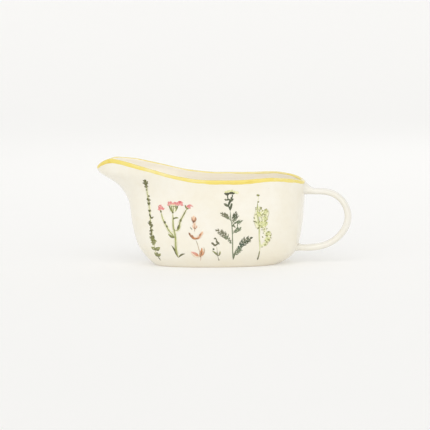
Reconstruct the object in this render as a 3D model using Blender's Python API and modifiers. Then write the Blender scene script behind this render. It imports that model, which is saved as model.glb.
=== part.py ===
"""Gravy boat in glazed earthenware: a slip-cast bowl with a poured spout, a loop handle cast apart
and luted on, and the coloured glaze band painted over the lip.

Frame: +Z up, table at z = 0, origin under the middle of the overall length.
The spout points to -X, the handle to +X, and the decorated side faces -Y.
All lengths are in metres."""
import math

import bmesh
import bpy
from mathutils import Vector

MM = 0.001

# Driving dimensions.
WALL = 3.6 * MM                  # thickness of the cast wall
LIP_HEIGHT = 1.6 * MM            # the rounded lip stands this far above the wall's edge
FLOOR_FILLET = 5.0 * MM          # inside, between wall and floor
FOOT_ROUNDING = 0.9 * MM         # radius where the wall meets the table
FOOT_RING_WIDTH = 5.0 * MM       # unglazed ring that the boat stands on
FOOT_RECESS = 1.2 * MM           # depth of the hollow inside that ring
GAP = 0.3 * MM                   # clearance between the band and the lip
LUTING_GAP = 0.36 * MM           # clearance between the handle's ends and the wall
BAND_THICKNESS = 0.5 * MM
BAND_OUTSIDE = 1.6 * MM          # how far the painted band reaches down below the lip
BAND_SWEEP = 150.0               # degrees of the lip's round that it covers
STRAP_THICKNESS = 5.1 * MM       # handle section, radially
STRAP_WIDTH = 11.0 * MM          # handle section, across

# The bowl's outer wall, as level outlines. Each row, in millimetres: height, spout end (x),
# handle end (x), widest place (x), half width, squareness of the outline, taper to the spout.
WALL_STATIONS = (
    (0.0, -58.1, 46.1, -5.0, 26.7, 0.15, 0.00),
    (4.0, -62.4, 53.6, -4.8, 30.0, 0.16, 0.02),
    (10.0, -67.3, 59.6, -4.2, 34.6, 0.16, 0.05),
    (17.0, -71.6, 62.3, -3.4, 37.2, 0.16, 0.09),
    (34.0, -75.8, 65.7, 0.0, 39.6, 0.12, 0.20),
    (52.0, -78.3, 67.9, 2.0, 40.8, 0.05, 0.35),
    (65.0, -85.4, 68.8, 2.4, 41.1, 0.00, 0.45),
    (70.5, -92.2, 68.9, 2.4, 41.1, 0.00, 0.48),
    (74.0, -98.2, 68.8, 2.6, 41.1, 0.00, 0.50),
    (77.5, -103.2, 68.6, 2.8, 41.1, 0.00, 0.52),
    (80.5, -105.6, 68.4, 3.0, 41.2, 0.00, 0.52),
    (84.5, -107.2, 68.2, 3.2, 41.2, 0.00, 0.52),
    (90.0, -108.0, 68.0, 3.4, 41.3, 0.00, 0.52),
)

RIM_TAPER = 0.6                  # the outline's taper to the spout at the rim

# The wall's outer edge just under the lip, seen from the side: reach from the widest place (-1
# spout tip, +1 handle end) and height in millimetres.
RIM_STATIONS = (
    (-1.00, 79.9),
    (-0.96, 83.0),
    (-0.92, 85.6),
    (-0.86, 87.7),
    (-0.78, 86.7),
    (-0.55, 80.2),
    (-0.31, 73.6),
    (-0.09, 70.9),
    (0.20, 70.6),
    (0.60, 71.5),
    (0.86, 69.2),
    (1.00, 65.8),
)

# Centre line of the handle in the XZ plane: x and z in millimetres, and section size against the
# plain strap. The first and last points lie inside the wall.
HANDLE_STATIONS = (
    (63.0, 60.3, 1.25),
    (69.0, 60.1, 1.22),
    (76.0, 59.2, 1.0),
    (84.5, 58.7, 0.96),
    (98.3, 51.4, 1.02),
    (103.2, 37.5, 1.08),
    (97.2, 23.5, 1.08),
    (84.6, 14.9, 1.06),
    (74.0, 13.0, 1.08),
    (63.0, 12.6, 1.1),
    (56.0, 12.5, 1.15),
)

# Mesh density.
COLUMNS = 36                     # steps round half of the bowl, spout tip to handle end
COLUMN_CROWDING = 0.35           # 0 is even; above 0 the steps close up at the tip and the handle
ROWS = 16                        # steps up the wall
ROW_CROWDING = 0.6               # the same for the steps up the wall, at the foot and the rim
LIP_STEPS = 6                    # steps over the lip
STRAP_ROUND_STEPS = 3            # steps over a quarter of the handle's section
STRAP_LENGTH_STEPS = 5           # steps between two stations of the handle
MERGE_DISTANCE = 0.01 * MM       # points closer than this become one

CUTTER_TOP = 110.0 * MM          # the cutting form of the bowl runs up past the rim
SMOOTH_UP_TO = 40.0              # degrees between faces that are shaded as one surface
BAND_SMOOTH_UP_TO = 60.0

COLLECTION = "gravy_boat"
CUTTERS = "cutters"


def clear_scene():
    for item in list(bpy.data.objects):
        bpy.data.objects.remove(item, do_unlink=True)


def new_collection(name):
    collection = bpy.data.collections.new(name)
    bpy.context.scene.collection.children.link(collection)
    return collection


def material(name, colour, roughness, metallic=0.0):
    made = bpy.data.materials.new(name)
    made.use_nodes = True
    shader = made.node_tree.nodes["Principled BSDF"]
    shader.inputs["Base Color"].default_value = (*colour, 1.0)
    shader.inputs["Roughness"].default_value = roughness
    shader.inputs["Metallic"].default_value = metallic
    made.diffuse_color = (*colour, 1.0)
    return made


def smooth(stations, place, column=1):
    """Value at place on a smooth curve through the stations' first column and the given one.

    The slopes are limited as in a monotone cubic, so that the curve never overshoots."""
    places = [row[0] for row in stations]
    values = [row[column] for row in stations]
    place = min(max(place, places[0]), places[-1])
    last = len(places) - 1
    steps = [(values[i + 1] - values[i]) / (places[i + 1] - places[i]) for i in range(last)]

    def slope(i):
        if i == 0 or i == last:
            return steps[0] if i == 0 else steps[-1]
        before, after = steps[i - 1], steps[i]
        return 2.0 * before * after / (before + after) if before * after > 0.0 else 0.0

    i = max(j for j in range(last) if places[j] <= place)
    span = places[i + 1] - places[i]
    t = (place - places[i]) / span
    return (
        (1.0 + 2.0 * t) * (1.0 - t) ** 2 * values[i]
        + t * (1.0 - t) ** 2 * span * slope(i)
        + t * t * (3.0 - 2.0 * t) * values[i + 1]
        + t * t * (t - 1.0) * span * slope(i + 1)
    )


def even_ends(t, strength):
    """Maps 0..1 onto itself with closer steps at both ends."""
    return t - strength * math.sin(2.0 * math.pi * t) / (2.0 * math.pi)


def level_point(angle, height, grow=0.0):
    """Point of the outer wall at a height; angle 0 is the handle end and pi the spout end."""
    level = height / MM
    spout, handle, widest, half_width, square, taper = (
        smooth(WALL_STATIONS, level, column) * MM if column < 5
        else smooth(WALL_STATIONS, level, column)
        for column in range(1, 7)
    )
    reach = abs(math.cos(angle)) ** (1.0 - square)
    side = (half_width + grow) * max(math.sin(angle), 0.0) ** (1.0 - square)
    if angle > math.pi / 2.0:
        reach *= 1.0 - taper * (1.0 - reach)
        return Vector((widest + (spout - grow - widest) * reach, side, height))
    return Vector((widest + (handle + grow - widest) * reach, side, height))


def rim_height(angle):
    """Height of the wall's outer edge under the lip, by how far round the rim it is."""
    reach = abs(math.cos(angle))
    if angle > math.pi / 2.0:
        reach *= -1.0 + RIM_TAPER * (1.0 - reach)
    return smooth(RIM_STATIONS, reach) * MM


def wall_point(angle, up):
    """Point of the outer wall; up is 0 at the foot and 1 at the rim."""
    return level_point(angle, up * rim_height(angle))


def wall_frame(angle, up=1.0):
    """Point of the outer wall, with the wall's outward normal and its upward tangent there."""
    turn, climb = 0.001, 0.01
    point = wall_point(angle, up)
    rise = wall_point(angle, min(up + climb, 1.0)) - wall_point(angle, max(up - climb, 0.0))
    if turn < angle < math.pi - turn:
        along = wall_point(angle - turn, up) - wall_point(angle + turn, up)
    else:
        along = Vector((0.0, 1.0 if angle > math.pi / 2.0 else -1.0, 0.0))
    outward = rise.cross(along).normalized()
    upward = (rise - outward * rise.dot(outward)).normalized()
    return point, outward, upward


def angles():
    return [math.pi * even_ends(i / COLUMNS, COLUMN_CROWDING) for i in range(COLUMNS + 1)]


def ups():
    """Fractions of the wall's height at its rows, closer at the foot and at the rim."""
    return [even_ends(j / ROWS, ROW_CROWDING) for j in range(1, ROWS)]


def foot_rows(grow=0.0):
    """The foot's edge: from the flat underside round to the wall."""
    rows = []
    for degrees in (0.0, 30.0, 60.0):
        turn = math.radians(degrees)
        drawn_in = FOOT_ROUNDING * (1.0 - math.sin(turn))
        height = FOOT_ROUNDING * (1.0 - math.cos(turn))
        rows.append([level_point(angle, height, grow - drawn_in) for angle in angles()])
    return rows


def lip_row(across, high):
    """A row along the rim, so far outward and upward of the middle of the wall's edge."""
    row = []
    for angle in angles():
        point, outward, upward = wall_frame(angle)
        row.append(point + outward * (across - WALL / 2.0) + upward * high)
    return row


def lip_arc(distance, sweep=180.0):
    """The lip's round section grown by a distance, from outside over the top towards inside."""
    half, height = WALL / 2.0 + distance, LIP_HEIGHT + distance
    turns = [math.radians(sweep) * step / LIP_STEPS for step in range(LIP_STEPS + 1)]
    return [(half * math.cos(a), height * math.sin(a)) for a in turns]


def add_mesh(name, collection, grid, closed_rows=False, bottom=False, top=False, surface=None):
    """Half of a body from rows of points, on the +Y side; Mirror makes the other half."""
    form = bmesh.new()
    rows = []
    for row in grid:
        points = [form.verts.new(point) for point in row]
        for end in (points[0], points[-1]):
            end.co.y = 0.0
        rows.append(points)
    pairs = list(zip(rows, rows[1:]))
    if closed_rows:
        pairs.append((rows[-1], rows[0]))
    for lower, upper in pairs:
        for i in range(len(lower) - 1):
            form.faces.new((lower[i], lower[i + 1], upper[i + 1], upper[i]))
    if bottom:
        form.faces.new(list(reversed(rows[0])))
    if top:
        form.faces.new(rows[-1])
    mesh = bpy.data.meshes.new(name)
    form.to_mesh(mesh)
    form.free()
    made = bpy.data.objects.new(name, mesh)
    collection.objects.link(made)
    mirror = made.modifiers.new("Mirror", "MIRROR")
    mirror.use_axis = (False, True, False)
    mirror.merge_threshold = MERGE_DISTANCE
    mirror.use_clip = True
    if surface:
        mesh.materials.append(surface)
    return made


def cut(piece, cutter):
    boolean = piece.modifiers.new("Cut", "BOOLEAN")
    boolean.operation = "DIFFERENCE"
    boolean.object = cutter
    cutter.hide_render = True
    cutter.display_type = "WIRE"


def shade(piece, smooth_up_to=SMOOTH_UP_TO):
    piece.data.shade_smooth()
    piece.data.set_sharp_from_angle(angle=math.radians(smooth_up_to))


def make_recess_cutter(collection):
    """Hollow inside the foot ring: the foot's outline drawn in by the ring's width."""
    inset = -FOOT_RING_WIDTH
    low = [level_point(angle, 0.0, inset) - Vector((0.0, 0.0, FOOT_RECESS)) for angle in angles()]
    high = [level_point(angle, 0.0, inset) + Vector((0.0, 0.0, FOOT_RECESS)) for angle in angles()]
    return add_mesh("recess_cutter", collection, (low, high), bottom=True, top=True)


def make_bowl(collection, cutters, glaze):
    """One closed loft: up the outer wall, over the lip and down the inner wall to the floor."""
    rows = foot_rows()
    rows += [[wall_point(angle, up) for angle in angles()] for up in ups()]
    rows += [lip_row(across, high) for across, high in lip_arc(0.0)]
    for up in reversed(ups()):
        if up * rim_height(0.0) > FLOOR_FILLET:
            frames = [wall_frame(angle, up) for angle in angles()]
            rows.append([point - outward * WALL for point, outward, _ in frames])
    lift = Vector((0.0, 0.0, WALL))
    rows.append([level_point(angle, 0.0, -FLOOR_FILLET) + lift for angle in angles()])
    bowl = add_mesh("bowl", collection, rows, bottom=True, top=True, surface=glaze)
    cut(bowl, make_recess_cutter(cutters))
    shade(bowl)
    return bowl


def make_rim_band(collection, glaze):
    """A thin cap of glaze over the lip: a hooked section carried round the rim."""
    section = []
    for distance in (GAP + BAND_THICKNESS, GAP):
        hook = [(WALL / 2.0 + distance, -BAND_OUTSIDE)] + lip_arc(distance, BAND_SWEEP)
        section += reversed(hook) if distance == GAP else hook
    rows = [lip_row(across, high) for across, high in section]
    band = add_mesh("rim_band", collection, rows, closed_rows=True, surface=glaze)
    shade(band, BAND_SMOOTH_UP_TO)
    return band


def make_bowl_cutter(collection):
    """The bowl's outside grown by the gap and carried up past the rim, to trim the handle's ends."""
    rows = foot_rows(LUTING_GAP)
    for up in ups() + [1.0]:
        rows.append([level_point(a, up * rim_height(a), LUTING_GAP) for a in angles()])
    rows.append([Vector((point.x, point.y, CUTTER_TOP)) for point in rows[-1]])
    return add_mesh("bowl_cutter", collection, rows, bottom=True, top=True)


def make_handle(collection, cutter, glaze):
    """An oval strap: a round tube along the loop, widened across the boat."""
    curve = bpy.data.curves.new("handle", "CURVE")
    curve.dimensions = "3D"
    curve.bevel_depth = STRAP_THICKNESS / 2.0
    curve.bevel_resolution = STRAP_ROUND_STEPS
    curve.use_fill_caps = True
    curve.resolution_u = STRAP_LENGTH_STEPS
    spline = curve.splines.new("BEZIER")
    spline.bezier_points.add(len(HANDLE_STATIONS) - 1)
    for point, (x, z, size) in zip(spline.bezier_points, HANDLE_STATIONS):
        point.co = (x * MM, 0.0, z * MM)
        point.radius = size
        point.handle_left_type = "AUTO"
        point.handle_right_type = "AUTO"
    tube = bpy.data.objects.new("handle_curve", curve)
    tube.scale.y = STRAP_WIDTH / STRAP_THICKNESS
    collection.objects.link(tube)
    bpy.context.view_layer.update()
    evaluated = tube.evaluated_get(bpy.context.evaluated_depsgraph_get())
    mesh = bpy.data.meshes.new_from_object(evaluated)
    mesh.transform(tube.matrix_world)
    bpy.data.objects.remove(tube, do_unlink=True)
    form = bmesh.new()
    form.from_mesh(mesh)
    bmesh.ops.remove_doubles(form, verts=form.verts, dist=MERGE_DISTANCE)
    bmesh.ops.recalc_face_normals(form, faces=form.faces)
    form.to_mesh(mesh)
    form.free()
    mesh.name = "handle"
    mesh.materials.clear()
    mesh.materials.append(glaze)
    handle = bpy.data.objects.new("handle", mesh)
    collection.objects.link(handle)
    cut(handle, cutter)
    shade(handle)
    return handle


def main():
    clear_scene()
    parts = new_collection(COLLECTION)
    cutters = new_collection(CUTTERS)
    cream = material("cream_glaze", (0.90, 0.85, 0.71), 0.16)
    cream_handle = material("cream_glaze_handle", (0.91, 0.87, 0.76), 0.16)
    yellow = material("yellow_glaze", (0.95, 0.72, 0.13), 0.2)
    boat = bpy.data.objects.new("gravy_boat", None)
    parts.objects.link(boat)
    bowl = make_bowl(parts, cutters, cream)
    band = make_rim_band(parts, yellow)
    handle = make_handle(parts, make_bowl_cutter(cutters), cream_handle)
    for piece in (bowl, band, handle):
        piece.parent = boat


main()
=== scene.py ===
"""Looks of the gravy boat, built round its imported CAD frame.

The three CAD solids are replaced by finer forms of the same design: the glazed bowl, the handle
with its luted roots, and the yellow band brushed over the lip. The plants printed on both sides are
thin closed shapes that follow the wall. Working lengths are in millimetres until a mesh is made."""

import math
import random

import bmesh
import bpy
import numpy as np
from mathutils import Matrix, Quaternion, Vector


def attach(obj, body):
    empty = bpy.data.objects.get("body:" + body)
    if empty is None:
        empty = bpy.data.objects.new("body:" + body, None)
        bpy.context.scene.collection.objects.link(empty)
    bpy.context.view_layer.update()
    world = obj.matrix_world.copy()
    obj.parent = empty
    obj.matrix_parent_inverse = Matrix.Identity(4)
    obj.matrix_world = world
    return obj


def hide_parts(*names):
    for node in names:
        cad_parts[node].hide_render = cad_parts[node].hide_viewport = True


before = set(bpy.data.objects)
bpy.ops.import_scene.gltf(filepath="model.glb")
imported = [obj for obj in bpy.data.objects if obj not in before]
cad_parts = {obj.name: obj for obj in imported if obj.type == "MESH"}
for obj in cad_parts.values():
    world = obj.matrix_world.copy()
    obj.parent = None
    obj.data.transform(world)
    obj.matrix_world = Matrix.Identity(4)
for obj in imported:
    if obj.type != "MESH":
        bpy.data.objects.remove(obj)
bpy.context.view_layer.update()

MM = 0.001
BODY = "root"
random.seed(7)

# The bowl's design, within 2 mm of the CAD model's. Each row of WALL_STATIONS: height, spout end
# (x), handle end (x), widest place (x), half width, squareness of the outline, taper to the spout.
WALL = 3.6
LIP_HEIGHT = 1.6
FOOT_ROUNDING = 0.9
FOOT_RING_WIDTH = 5.0
FOOT_RECESS = 1.2
WALL_STATIONS = (
    (0.0, -58.1, 46.1, -5.0, 26.7, 0.15, 0.00),
    (4.0, -62.4, 53.6, -4.8, 30.0, 0.16, 0.02),
    (10.0, -67.3, 59.6, -4.2, 34.6, 0.16, 0.05),
    (17.0, -71.6, 62.3, -3.4, 37.2, 0.16, 0.09),
    (34.0, -75.8, 65.7, 0.0, 39.6, 0.12, 0.20),
    (52.0, -78.3, 67.5, 2.0, 40.8, 0.05, 0.35),
    (65.0, -85.4, 68.1, 2.4, 41.1, 0.00, 0.45),
    (70.5, -92.2, 68.2, 2.4, 41.1, 0.00, 0.48),
    (74.0, -98.2, 68.1, 2.6, 41.1, 0.00, 0.50),
    (77.2, -103.2, 67.9, 2.8, 41.1, 0.00, 0.52),
    (80.5, -104.5, 67.7, 3.0, 41.2, 0.00, 0.52),
    (84.5, -105.3, 67.5, 3.2, 41.2, 0.00, 0.52),
    (90.0, -105.9, 67.3, 3.4, 41.3, 0.00, 0.52),
)
# Each row of RIM_STATIONS: place along the boat from -1, the spout, to 1, the handle end; height.
RIM_TAPER = 0.6
RIM_STATIONS = (
    (-1.00, 80.8),
    (-0.96, 83.7),
    (-0.92, 85.8),
    (-0.86, 87.6),
    (-0.78, 86.4),
    (-0.55, 80.2),
    (-0.31, 73.6),
    (-0.09, 70.9),
    (0.20, 70.6),
    (0.60, 71.5),
    (0.86, 69.6),
    (1.00, 66.8),
)
LOWEST_RIM = 67.0
MIDDLE_RIM = 72.0
SPOUT_PRESSED = 2.0


# ---- curves and the bowl's surface

def hermite(t, start, leaving, end, arriving):
    """A cubic from start, with the tangent leaving, to end, with the tangent arriving."""
    return (
        (1.0 + 2.0 * t) * (1.0 - t) ** 2 * start + t * (1.0 - t) ** 2 * leaving
        + t * t * (3.0 - 2.0 * t) * end + t * t * (t - 1.0) * arriving
    )


def curve_through(stations, column, low, high, softening):
    """A smooth function through the stations' first column and another, without overshoot.

    It is tabled from low to high and averaged over the softening width, which takes the change
    of curvature at each station out of the reflections."""
    xs = np.array([row[0] for row in stations])
    ys = np.array([row[column] for row in stations])
    steps = np.diff(ys) / np.diff(xs)
    slopes = np.concatenate((steps[:1], np.zeros(len(xs) - 2), steps[-1:]))
    before, after = steps[:-1], steps[1:]
    same = before * after > 0.0
    slopes[1:-1][same] = 2.0 * (before * after)[same] / (before + after)[same]
    step = softening / 8.0
    places = np.arange(low - 3.0 * softening, high + 3.0 * softening, step)
    i = np.clip(np.searchsorted(xs, places, side="right") - 1, 0, len(xs) - 2)
    span = xs[i + 1] - xs[i]
    table = hermite((places - xs[i]) / span, ys[i], span * slopes[i], ys[i + 1], span * slopes[i + 1])
    below, above = places < xs[0], places > xs[-1]
    table[below] = ys[0] + slopes[0] * (places[below] - xs[0])
    table[above] = ys[-1] + slopes[-1] * (places[above] - xs[-1])
    bell = np.exp(-0.5 * (np.arange(-16, 17) / 8.0) ** 2)
    soft = np.convolve(table, bell / bell.sum(), mode="same")
    return lambda place: np.interp(place, places, soft)


LEVELS = [curve_through(WALL_STATIONS, column, -4.0, 96.0, 1.6) for column in range(1, 7)]
RIM = curve_through(RIM_STATIONS, 1, -1.0, 1.0, 0.012)
FOOT_HALF_WIDTH = float(LEVELS[3](0.0))


def unevenness(turn, height):
    """How far the hand-finished wall wanders from its drawing."""
    slow = 0.13 * np.sin(2.0 * turn + 0.6) * np.sin(height / 24.0 + 0.4)
    return slow + 0.06 * np.sin(5.0 * turn + 1.3 + height / 17.0)


def wall(turn, height, inset=0.0):
    """Points of the outer wall at a height. turn runs right round: 0 is the handle end, then +Y,
    pi the spout, then -Y. inset draws the outline in."""
    turn, height = np.broadcast_arrays(np.asarray(turn, float), np.asarray(height, float))
    spout, handle, widest, half_width, square, taper = (level(height) for level in LEVELS)
    grow = unevenness(turn, height) - inset
    cosine, sine = np.cos(turn), np.sin(turn)
    reach = np.abs(cosine) ** (1.0 - square)
    side = np.maximum(half_width + grow, 0.0) * np.abs(sine) ** (1.0 - square) * np.sign(sine)
    pinched = reach * (1.0 - taper * (1.0 - reach))
    x = np.where(
        cosine < 0.0,
        widest + (spout - grow - widest) * pinched,
        widest + (handle + grow - widest) * reach,
    )
    return np.stack((x, side, height), -1)


def rim_height(turn):
    """Height of the wall's outer edge under the lip. The spout's far side was pressed a little lower."""
    cosine = np.cos(turn)
    reach = np.abs(cosine)
    near_tip = np.exp(-(((cosine + 0.90) / 0.07) ** 2))
    pressed = SPOUT_PRESSED * np.maximum(np.sin(turn), 0.0) * near_tip
    return RIM(np.where(cosine < 0.0, reach * (RIM_TAPER * (1.0 - reach) - 1.0), reach)) - pressed


def unit(vectors):
    return vectors / np.maximum(np.linalg.norm(vectors, axis=-1, keepdims=True), 1e-12)


def wall_frames(turn, up):
    """Outer wall at a fraction up of its height: points, outward normals and upward tangents."""
    turn = np.asarray(turn, float)
    low, high = max(up - 0.01, 0.0), min(up + 0.01, 1.0)
    rise = wall(turn, high * rim_height(turn)) - wall(turn, low * rim_height(turn))
    ahead, behind = turn + 0.004, turn - 0.004
    along = wall(ahead, up * rim_height(ahead)) - wall(behind, up * rim_height(behind))
    outward = unit(np.cross(along, rise))
    upward = unit(rise - outward * np.sum(rise * outward, axis=-1, keepdims=True))
    return wall(turn, up * rim_height(turn)), outward, upward


def turn_at(x, height, side, inset=0.0):
    """The turn at which the wall has this x at this height, on the +Y or -Y side."""
    spout, handle, widest, _, square, taper = (level(height) for level in LEVELS)
    to_spout = x < widest
    end = np.where(to_spout, spout + inset, handle - inset)
    share = np.clip((x - widest) / (end - widest), 0.0, 1.0)
    taper = np.where(to_spout, np.maximum(taper, 1e-4), 1e-4)
    reach = (np.sqrt((1.0 - taper) ** 2 + 4.0 * taper * share) - (1.0 - taper)) / (2.0 * taper)
    cosine = np.clip(reach, 0.0, 1.0) ** (1.0 / (1.0 - square))
    turn = np.arccos(np.where(to_spout, -cosine, cosine))
    return turn if side > 0 else 2.0 * math.pi - turn


def on_wall(x, height, side):
    """The wall's surface seen straight from one side: points for x and height, and normals."""
    def point(px, pz):
        drawn_turn = turn_at(px, pz, side)
        turn = turn_at(px, pz, side, -unevenness(drawn_turn, pz))
        return wall(turn, pz)

    x, height = np.asarray(x, float), np.asarray(height, float)
    across = point(x + 0.2, height) - point(x - 0.2, height)
    rise = point(x, height + 0.2) - point(x, height - 0.2)
    normal = unit(np.cross(across, rise)) * -side
    return point(x, height), normal


def even_ends(count, strength):
    """0..1 in count steps, closer at both ends."""
    t = np.arange(count + 1) / count
    return t - strength * np.sin(2.0 * math.pi * t) / (2.0 * math.pi)


def turns(columns):
    """Turns right round the rim, closer at the spout's tip and at the handle end."""
    half = math.pi * even_ends(columns // 2, 0.45)
    return np.concatenate((half, 2.0 * math.pi - half[-2:0:-1]))


# ---- meshes

def add_object(name, data, at=None, turned=None):
    made = bpy.data.objects.new(name, data)
    bpy.context.scene.collection.objects.link(made)
    if turned:
        made.location = at
        made.rotation_mode = "QUATERNION"
        made.rotation_quaternion = turned
    return made


def new_object(name, points, faces, surface):
    mesh = bpy.data.meshes.new(name)
    mesh.from_pydata((np.asarray(points) * MM).tolist(), [], faces)
    mesh.materials.append(surface)
    mesh.shade_smooth()
    return add_object(name, mesh)


def loft(rows, close_rows=False):
    """Points and faces of a form through rings of points, each ring closed."""
    count = len(rows[0])
    faces = []
    last = len(rows) if close_rows else len(rows) - 1
    for j in range(last):
        here, above = j * count, (j + 1) % len(rows) * count
        for i in range(count):
            following = (i + 1) % count
            faces.append((here + i, here + following, above + following, above + i))
    return np.concatenate(rows), faces


def weld(made, distance=0.002):
    """Joins points that fall together and drops the faces that this leaves without area."""
    form = bmesh.new()
    form.from_mesh(made.data)
    bmesh.ops.remove_doubles(form, verts=form.verts, dist=distance * MM)
    bmesh.ops.dissolve_degenerate(form, edges=form.edges, dist=1e-7)
    bmesh.ops.recalc_face_normals(form, faces=form.faces)
    form.to_mesh(made.data)
    form.free()
    made.data.shade_smooth()


def keep(made, name, values):
    """Keeps one number per point in the mesh, for the material to read."""
    layer = made.data.attributes.new(name, "FLOAT", "POINT")
    layer.data.foreach_set("value", np.asarray(values, np.float32))


def place(piece, slot, *nodes):
    """What every piece of the boat needs: the body it rides on, and the CAD nodes it stands for, which are
    hidden. slot, its finish, is not used.
    """
    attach(piece, BODY)
    if nodes:
        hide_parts(*nodes)
    return piece


# ---- materials

def linear(red, green, blue):
    """A colour given in the usual 0..255 display values."""
    values = [channel / 255.0 for channel in (red, green, blue)]
    return tuple(v / 12.92 if v <= 0.04045 else ((v + 0.055) / 1.055) ** 2.4 for v in values)


def put(node, **values):
    """Sets a node's inputs; an input's name is written with _ for its spaces."""
    for name, value in values.items():
        node.inputs[name.replace("_", " ")].default_value = value


class Nodes:
    """A short way to write a material's node tree."""

    def __init__(self, name, roughness, coat):
        self.material = bpy.data.materials.new(name)
        self.material.use_nodes = True
        self.tree = self.material.node_tree
        self.shader = self.tree.nodes["Principled BSDF"]
        put(self.shader, Roughness=roughness, IOR=1.5, Coat_Weight=coat, Coat_Roughness=0.05)
        self.where = self.tree.nodes.new("ShaderNodeTexCoord").outputs["Object"]

    def add(self, kind, **settings):
        node = self.tree.nodes.new(kind)
        for name, value in settings.items():
            setattr(node, name, value)
        return node

    def link(self, source, target):
        self.tree.links.new(source, target)

    def noise(self, scale, detail=2.0, roughness=0.5, stretch=None):
        """Fractal noise; scale is in features per metre."""
        node = self.add("ShaderNodeTexNoise")
        put(node, Scale=scale, Detail=detail, Roughness=roughness)
        source = self.where
        if stretch:
            mapping = self.add("ShaderNodeMapping")
            put(mapping, Scale=stretch)
            self.link(source, mapping.inputs["Vector"])
            source = mapping.outputs["Vector"]
        self.link(source, node.inputs["Vector"])
        return node.outputs["Fac"]

    def ramp(self, value, low, high):
        """0 below low, 1 above high."""
        node = self.add("ShaderNodeMapRange", interpolation_type="SMOOTHSTEP")
        put(node, From_Min=low, From_Max=high)
        self.link(value, node.inputs["Value"])
        return node.outputs["Result"]

    def math(self, operation, first, second):
        node = self.add("ShaderNodeMath", operation=operation)
        for socket, value in zip(node.inputs, (first, second)):
            if isinstance(value, (int, float)):
                socket.default_value = value
            else:
                self.link(value, socket)
        return node.outputs["Value"]

    def times(self, first, second):
        return self.math("MULTIPLY", first, second)

    def mix(self, factor, first, second, blend="MIX"):
        node = self.add("ShaderNodeMix", data_type="RGBA", blend_type=blend)
        for socket, value in ((node.inputs[0], factor), (node.inputs[6], first), (node.inputs[7], second)):
            if isinstance(value, tuple):
                socket.default_value = (*value, 1.0)
            elif isinstance(value, (int, float)):
                socket.default_value = value
            else:
                self.link(value, socket)
        return node.outputs[2]

    def height(self):
        split = self.add("ShaderNodeSeparateXYZ")
        self.link(self.where, split.inputs[0])
        return split.outputs["Z"]

    def bump(self, value, strength, distance):
        node = self.add("ShaderNodeBump")
        put(node, Strength=strength, Distance=distance)
        self.link(value, node.inputs["Height"])
        self.link(node.outputs["Normal"], self.shader.inputs["Normal"])
        self.link(node.outputs["Normal"], self.shader.inputs["Coat Normal"])

    def finish(self, colour, roughness=None):
        self.link(colour, self.shader.inputs["Base Color"])
        if roughness is not None:
            self.link(roughness, self.shader.inputs["Roughness"])
        return self.material


def glaze_bump(nodes):
    """The faint orange peel and slow waves of a dipped glaze."""
    peel = nodes.noise(620.0, 1.0)
    wave = nodes.noise(70.0, 2.0)
    both = nodes.math("ADD", nodes.times(peel, 0.10), wave)
    nodes.bump(both, 0.35, 0.00025)


def cream_glaze(name, thick, thin, bowl):
    """Cream glaze: warmer where it lies thick, paler where it ran thin, with a few fine specks.

    The bowl is painted paler inside, painted light that brightens its shaded hollow, where the mesh marks
    the inside; its foot ring is bare clay."""
    nodes = Nodes(name, 0.22, 0.7)
    cloud = nodes.ramp(nodes.noise(32.0, 3.0, 0.55), 0.30, 0.72)
    colour = nodes.mix(cloud, thin, thick)
    mottle = nodes.ramp(nodes.noise(210.0, 2.0, 0.6), 0.35, 0.75)
    colour = nodes.mix(nodes.times(mottle, 0.10), colour, linear(228, 216, 188))
    specks = nodes.ramp(nodes.noise(1150.0, 1.0), 0.775, 0.80)
    colour = nodes.mix(nodes.times(specks, 0.30), colour, linear(158, 128, 88))
    # Glaze pooled near the foot and painted shade on the low wall: warmer and darker below 16 mm.
    pooled_and_shade = nodes.ramp(nodes.height(), 0.016, 0.001)
    colour = nodes.mix(nodes.times(pooled_and_shade, 0.25), colour, linear(228, 215, 186))
    roughness = nodes.math("ADD", nodes.times(cloud, 0.06), 0.17)
    if bowl:
        # Painted light: the inside is mixed toward a paler cream, brightening the shaded hollow.
        inside = nodes.add("ShaderNodeAttribute", attribute_name="inside").outputs["Fac"]
        colour = nodes.mix(nodes.times(inside, 0.85), colour, linear(251, 244, 229))
        ragged = nodes.times(nodes.noise(160.0, 2.0), 0.0004)
        bare = nodes.ramp(nodes.math("ADD", nodes.height(), ragged), 0.00075, 0.00045)
        grain = nodes.mix(nodes.noise(1500.0, 3.0, 0.7), linear(226, 209, 180), linear(202, 182, 150))
        colour = nodes.mix(bare, colour, grain)
        roughness = nodes.math("MAXIMUM", roughness, nodes.times(bare, 0.85))
    glaze_bump(nodes)
    return nodes.finish(colour, roughness)


def yellow_glaze():
    """Brushed yellow: the brush's load, kept in the mesh, makes it deep or thin."""
    nodes = Nodes("yellow_glaze_brushed", 0.22, 0.7)
    load = nodes.add("ShaderNodeAttribute", attribute_name="load").outputs["Fac"]
    streak = nodes.ramp(nodes.noise(380.0, 2.0, 0.6, (0.25, 1.0, 1.6)), 0.30, 0.75)
    blend = nodes.math("ADD", nodes.times(load, 0.75), nodes.times(streak, 0.30))
    colour = nodes.mix(nodes.ramp(blend, 0.05, 0.55), linear(242, 230, 168), linear(240, 219, 108))
    colour = nodes.mix(nodes.ramp(blend, 0.62, 1.05), colour, linear(228, 196, 66))
    glaze_bump(nodes)
    return nodes.finish(colour)


def ink():
    """Printed colours under the glaze: the mesh holds the hue, and noise the washed-out patches."""
    nodes = Nodes("plant_inks", 0.24, 0.6)
    hue = nodes.add("ShaderNodeAttribute", attribute_name="ink").outputs["Color"]
    washed = nodes.ramp(nodes.noise(520.0, 3.0, 0.6), 0.42, 0.80)
    colour = nodes.mix(nodes.times(washed, 0.30), hue, linear(240, 228, 196))
    dense = nodes.ramp(nodes.noise(900.0, 2.0, 0.5), 0.52, 0.75)
    colour = nodes.mix(nodes.times(dense, 0.25), colour, linear(62, 62, 30), "MULTIPLY")
    return nodes.finish(colour)


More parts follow.
